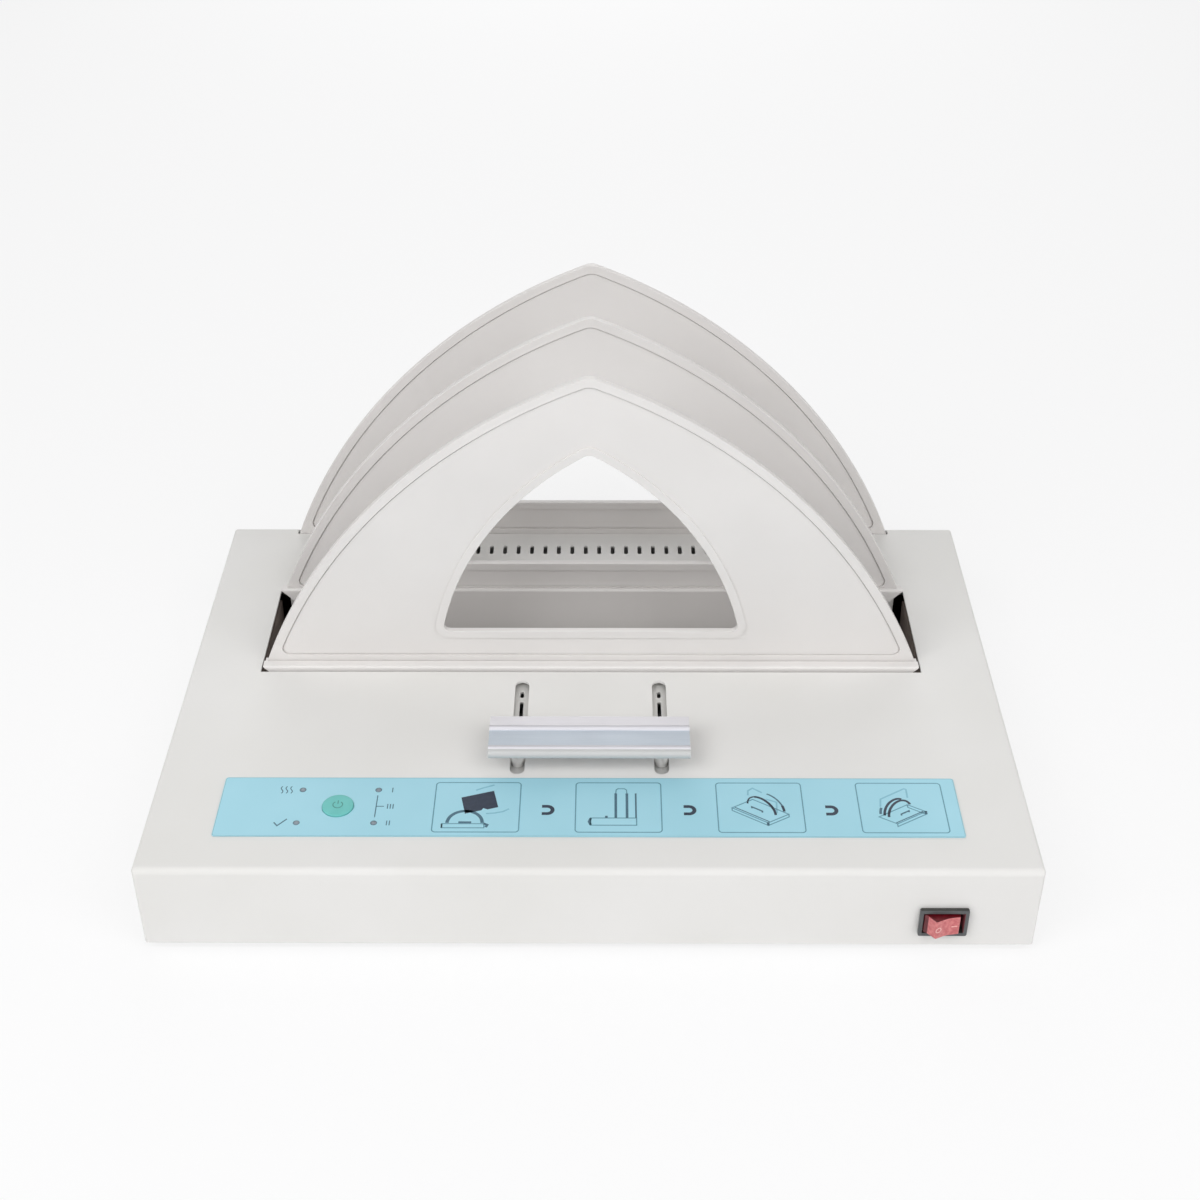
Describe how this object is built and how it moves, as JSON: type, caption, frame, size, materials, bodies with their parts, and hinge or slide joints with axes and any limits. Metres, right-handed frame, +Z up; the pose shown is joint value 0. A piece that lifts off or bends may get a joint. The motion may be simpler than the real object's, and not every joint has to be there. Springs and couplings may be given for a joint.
{
  "type": "thermal binding machine",
  "caption": "Desktop thermal binding machine: low sheet-metal housing with a long heated well between pointed arch plates, the front one sliding back with a bar handle to clamp the pages.",
  "frame": {"origin": "on the table, under the middle of the housing, at the underside of the rubber feet", "axes": "+Z up, +X to the right along the heating well as the user sees it, +Y away from the user"},
  "size_m": [0.3886, 0.2728, 0.2038],
  "materials": {
    "housing_paint": "satin powder coat",
    "arch_moulding": "fine matt",
    "zinc_sheet": "zinc plated",
    "dark_sheet": "matt",
    "hot_plate": "matt anodised",
    "handle_bar": "satin anodised",
    "plated_steel": "bright",
    "foot_rubber": "matt",
    "nylon": "matt",
    "label_film": "fine satin film",
    "button_plastic": "satin",
    "lamp_lens": "clear",
    "black_plastic": "fine matt",
    "rocker_plastic": "translucent gloss",
    "circuit_board": "solder mask",
    "mineral_board": "fibrous",
    "heater_film": "satin",
    "copper_winding": "lacquered"
  },
  "bodies": {
    "base": {"top_cover": "housing_paint", "base_pan": "zinc_sheet", "foot_front_left": "foot_rubber", "foot_front_right": "foot_rubber", "foot_rear_left": "foot_rubber", "foot_rear_right": "foot_rubber", "cover_screw_1": "plated_steel", "cover_screw_2": "plated_steel", "cover_screw_3": "plated_steel", "cover_screw_4": "plated_steel", "middle_arch": "arch_moulding", "back_arch": "arch_moulding", "well_rear_wall": "housing_paint", "arch_bracket_left": "zinc_sheet", "arch_bracket_right": "zinc_sheet", "well_end_wall_left": "dark_sheet", "well_end_wall_right": "dark_sheet", "guide_rail_left": "nylon", "guide_rail_right": "nylon", "heater_tray": "zinc_sheet", "insulation_board": "mineral_board", "heater_element": "heater_film", "heating_plate": "hot_plate", "thermostat": "black_plastic", "thermal_fuse": "copper_winding", "control_overlay": "label_film", "control_board": "circuit_board", "key_switch": "black_plastic", "board_spacer_1": "nylon", "board_spacer_2": "nylon", "board_spacer_3": "nylon", "board_spacer_4": "nylon", "lamp_heat": "lamp_lens", "lamp_done": "lamp_lens", "lamp_level_upper": "lamp_lens", "lamp_level_lower": "lamp_lens", "switch_housing": "black_plastic", "mains_inlet": "black_plastic", "inlet_pin_line": "plated_steel", "inlet_pin_neutral": "plated_steel", "inlet_pin_earth": "plated_steel", "power_board": "circuit_board", "transformer": "copper_winding", "relay": "black_plastic", "terminal_block": "button_plastic"},
    "carriage": {"front_arch": "arch_moulding", "carriage_plate": "zinc_sheet", "handle_bar": "handle_bar", "handle_post_left": "plated_steel", "handle_post_right": "plated_steel", "handle_screw_left": "plated_steel", "handle_screw_right": "plated_steel"},
    "start_button": {"button_cap": "button_plastic", "key_plunger": "nylon"},
    "power_rocker": {"switch_rocker": "rocker_plastic"}
  },
  "joints": [
    {"name": "clamp_slide", "type": "slide", "parent": "base", "child": "carriage", "axis": [0, 1, 0], "range_m": [0, 0.05]},
    {"name": "button_press", "type": "slide", "parent": "base", "child": "start_button", "axis": [0, 0, -1], "range_m": [0, 0.0004], "stiffness_N_per_m": 1500, "springref_m": -0.0008},
    {"name": "rocker_tilt", "type": "hinge", "parent": "base", "child": "power_rocker", "pos_m": [0.152, -0.1289, 0.0192], "axis": [0, 0, 1], "range_deg": [-34, 0]}
  ]
}
